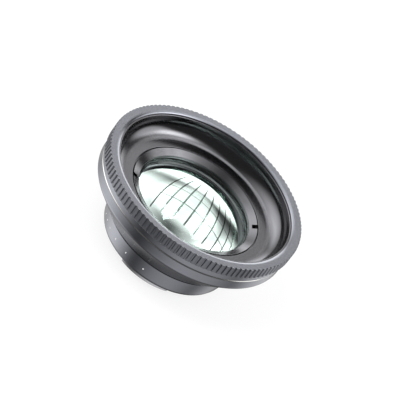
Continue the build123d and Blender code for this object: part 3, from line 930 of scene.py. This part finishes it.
class LENS_OT_mount_ring(bpy.types.Operator):
    """Builds the tapered mount ring and its painted index dots"""

    bl_idname = "lens.mount_ring"
    bl_label = "Mount ring and dots"

    def execute(self, context):
        sizes = context.scene.lens_metal_sizes
        fine = sizes.edge_round
        wide = reach("mount_ring")
        low, high = foot("mount_ring"), top("mount_ring")
        narrow = wide - sizes.mount_flare
        base_bore = reach("bayonet_base") + FIT
        hub_bore = reach("bayonet_base") + sizes.hub_wall + SLIP
        ledge_bore = tube(sizes) + 2 * SLIP
        ledge_foot = top("bayonet_base")
        ledge_top = foot("main_barrel")
        groove = sizes.joint_groove
        corners = [
            (base_bore, low, fine),
            (narrow - sizes.mount_edge_width, low, fine),
            (narrow, low + sizes.mount_edge_height, fine),
            (wide, high - groove, fine / 2, 2),
            (wide - groove, high, fine / 2, 2),
            (hub_bore, high, fine),
            (hub_bore, ledge_top),
            (ledge_bore, ledge_top, fine),
            (ledge_bore, ledge_foot, fine),
            (base_bore, ledge_foot),
        ]
        mesh = bmesh.new()
        section(mesh, corners)
        spun(mesh)
        piece("mount_ring_turned", mesh, ["grey_anodised"], ["mount_ring"])
        rise = high - groove - low - sizes.mount_edge_height
        self.dots(sizes, narrow, low, rise)
        return {"FINISHED"}

    def dots(self, sizes, narrow, low, rise):
        """Row of painted dots, closer together the further they are from the first."""
        height = low + sizes.dot_height
        climb = (sizes.dot_height - sizes.mount_edge_height) / rise
        radius = narrow + sizes.mount_flare * climb
        tilt = atan2(sizes.mount_flare, rise)
        azimuth, step = sizes.dot_first, sizes.dot_step
        mesh = bmesh.new()
        for _ in range(sizes.dot_count):
            result = bmesh.ops.create_circle(
                mesh, cap_ends=True, radius=sizes.dot_radius, segments=DOT_STEPS
            )
            face = result["verts"][0].link_faces[0]
            bmesh.ops.translate(mesh, vec=(0, 0, -sizes.dot_depth), verts=result["verts"])
            grown = bmesh.ops.extrude_face_region(mesh, geom=[face])
            raised = [part for part in grown["geom"] if isinstance(part, bmesh.types.BMVert)]
            bmesh.ops.translate(mesh, vec=(0, 0, sizes.dot_thickness), verts=raised)
            whole = result["verts"] + raised
            turn = Matrix.Rotation(azimuth, 4, "Z") @ Matrix.Translation((radius, 0, height))
            turn = turn @ Matrix.Rotation(pi / 2 + tilt, 4, "Y")
            bmesh.ops.transform(mesh, matrix=turn, verts=whole)
            azimuth -= step
            step *= sizes.dot_ratio
        bmesh.ops.recalc_face_normals(mesh, faces=mesh.faces)
        piece("index_dots", mesh, ["dot_paint"], [])


class LENS_OT_foot(bpy.types.Operator):
    """Finishes the bayonet foot, its screws and the rear of the lens"""

    bl_idname = "lens.foot"
    bl_label = "Foot and rear"

    def execute(self, context):
        for name, node, material, bevel in REAR_COPIES:
            dressed_copy(name, node, material, bevel)
        return {"FINISHED"}


class LENS_OT_inner_pieces(bpy.types.Operator):
    """Finishes the lens cell and the pieces inside the barrel"""

    bl_idname = "lens.inner_pieces"
    bl_label = "Inner pieces"

    def execute(self, context):
        for name, node, material, bevel in INNER_COPIES:
            dressed_copy(name, node, material, bevel)
        return {"FINISHED"}


class LENS_OT_stage(bpy.types.Operator):
    """Sets the camera, the floor, the lamps and the world"""

    bl_idname = "lens.stage"
    bl_label = "Stage"

    def execute(self, context):
        stage = context.scene.lens_stage
        self.camera(context, stage)
        self.floor(context, stage)
        self.lamps(context)
        self.world(context, stage)
        context.scene.view_settings.view_transform = "Standard"
        return {"FINISHED"}

    def camera(self, context, stage):
        """Camera at the photograph's angle."""
        data = bpy.data.cameras.new("camera")
        data.sensor_width = 36
        data.lens = stage.focal_length
        data.shift_x = -stage.shift
        data.shift_y = stage.shift
        data.clip_start = 0.05
        data.clip_end = 20
        made = bpy.data.objects.new("camera", data)
        context.scene.collection.objects.link(made)
        tilt = Matrix.Rotation(pi / 2 - stage.camera_elevation, 4, "X")
        roll = Matrix.Rotation(-stage.camera_roll, 4, "Z")
        made.matrix_world = Matrix.Translation(stage.camera_place) @ tilt @ roll
        context.scene.camera = made

    def floor(self, context, stage):
        """Pale floor that keeps the lens's shadow and looks white to the camera."""
        mesh = bmesh.new()
        bmesh.ops.create_grid(mesh, x_segments=1, y_segments=1, size=stage.floor_size / 2)
        data = bpy.data.meshes.new("floor")
        mesh.to_mesh(data)
        mesh.free()
        floor = bpy.data.objects.new("floor", data)
        context.scene.collection.objects.link(floor)
        floor.visible_glossy = False
        material, graph = new_finish("pale_floor")
        grain = graph.grain(4)
        paper = graph.blend(grain, (0.9, 0.9, 0.9, 1), (0.93, 0.93, 0.93, 1))
        lit = graph.value("BsdfDiffuse", {}, {"Color": paper})
        white = graph.value("Emission", {}, {"Color": (1, 1, 1, 1), "Strength": 1.0})
        seen = graph.value("LightPath", {}, {}, output="Is Camera Ray")
        graph.surface(
            graph.value("MixShader", {}, {0: seen * stage.floor_white, 1: lit, 2: white})
        )
        data.materials.append(material)

    def lamps(self, context):
        """Two soft boxes for the matt surfaces and the floor."""
        for name, place, size, power in LAMPS:
            data = bpy.data.lights.new(name, "AREA")
            data.shape = "SQUARE"
            data.size = size
            data.energy = power
            lamp = bpy.data.objects.new(name, data)
            context.scene.collection.objects.link(lamp)
            lamp.location = place
            lamp.rotation_euler = (-Vector(place)).to_track_quat("-Z", "Y").to_euler()
            lamp.visible_glossy = False
            lamp.visible_camera = False

    def world(self, context, stage):
        """White for the camera, and a room of soft boxes for what metal and glass reflect."""
        world = bpy.data.worlds.new("studio")
        context.scene.world = world
        graph = Graph(world)
        toward = graph.value("TexCoord", {}, {}, output="Generated")
        level = stage.room_level
        for azimuth, elevation, inner, fade, strength in SOFT_BOXES:
            shape = self.soft_box(graph, toward, azimuth, elevation, inner, fade)
            level = level + shape * strength
        level = level * self.ceiling(graph, toward)
        path = graph.node("LightPath", {}, {})
        glossy = Value(graph, path.outputs["Is Glossy Ray"])
        diffuse = Value(graph, path.outputs["Is Diffuse Ray"])
        strength = level * glossy + diffuse * stage.matt_level + (1 - glossy) * (1 - diffuse)
        light = graph.value("Background", {}, {"Color": (1, 1, 1, 1), "Strength": strength})
        graph.surface(light, "OutputWorld")

    def soft_box(self, graph, toward, azimuth, elevation, inner, fade):
        """Round soft box: 1 within the inner angle, fading to 0 over the fade angle, in degrees."""
        across, up = radians(azimuth), radians(elevation)
        middle = (cos(across) * cos(up), sin(across) * cos(up), sin(up))
        settings = {"operation": "DOT_PRODUCT"}
        nearness = graph.value("VectorMath", settings, {0: toward, 1: middle}, output="Value")
        spread = graph.maths("ARCCOSINE", graph.maths("MINIMUM", nearness, 0.99999))
        return graph.span(spread, radians(inner), radians(inner + fade), 1.0, 0.0)

    def ceiling(self, graph, toward):
        """Row of bright ceiling panels behind the lens, with dark bars between them."""
        split = graph.node("SeparateXYZ", {}, {0: toward})
        x, y, z = (Value(graph, output) for output in split.outputs)
        height = graph.maths("MAXIMUM", z, LOWEST_HEIGHT)
        across, along = x / height, y / height
        bar = graph.maths("PINGPONG", across + PLANE_SHIFT, HALF_BAR_SPACING)
        joint = graph.maths("PINGPONG", along + PLANE_SHIFT, HALF_JOINT_SPACING)
        gaps = 1 - graph.span(bar, *GAP_EDGE) * graph.span(joint, *GAP_EDGE)
        inside = (
            graph.span(across, *CEILING_LEFT) * graph.span(across, *CEILING_RIGHT, 1.0, 0.0)
            * graph.span(along, *CEILING_NEAR) * graph.span(along, *CEILING_FAR, 1.0, 0.0)
        )
        return 1 + inside * (PANEL_LIGHT - gaps * GAP_LOSS)


class LENS_PT_panel(bpy.types.Panel):
    """Lists the lens's pieces and its settings"""

    bl_idname = "LENS_PT_panel"
    bl_label = "Wide-angle lens"
    bl_space_type = "VIEW_3D"
    bl_region_type = "UI"
    bl_category = "Lens"

    def draw(self, context):
        for operator in OPERATORS:
            self.layout.operator(operator.bl_idname)
        for name, group in GROUPS.items():
            box = self.layout.box()
            box.label(text=group.__doc__)
            for setting in group.__annotations__:
                box.prop(getattr(context.scene, name), setting)


GROUPS = {
    "lens_metal_sizes": LensMetalSizes,
    "lens_cup_sizes": LensCupSizes,
    "lens_glass_sizes": LensGlassSizes,
    "lens_colours": LensColours,
    "lens_stage": LensStage,
}
OPERATORS = (
    LENS_OT_stage,
    LENS_OT_front_ring,
    LENS_OT_hood_cup,
    LENS_OT_retaining_ring,
    LENS_OT_glasses,
    LENS_OT_barrel,
    LENS_OT_mount_ring,
    LENS_OT_foot,
    LENS_OT_inner_pieces,
)


def register():
    """Registers the settings, the operators and the panel."""
    for name, group in GROUPS.items():
        bpy.utils.register_class(group)
        setattr(bpy.types.Scene, name, bpy.props.PointerProperty(type=group))
    for operator in OPERATORS:
        bpy.utils.register_class(operator)
    bpy.utils.register_class(LENS_PT_panel)


def unregister():
    """Removes what register added."""
    bpy.utils.unregister_class(LENS_PT_panel)
    for operator in reversed(OPERATORS):
        bpy.utils.unregister_class(operator)
    for name, group in GROUPS.items():
        delattr(bpy.types.Scene, name)
        bpy.utils.unregister_class(group)


def main():
    """Builds every piece and the stage."""
    register()
    bpy.ops.lens.stage()
    bpy.ops.lens.front_ring()
    bpy.ops.lens.hood_cup()
    bpy.ops.lens.retaining_ring()
    bpy.ops.lens.glasses()
    bpy.ops.lens.barrel()
    bpy.ops.lens.mount_ring()
    bpy.ops.lens.foot()
    bpy.ops.lens.inner_pieces()


if __name__ == "__main__":
    main()
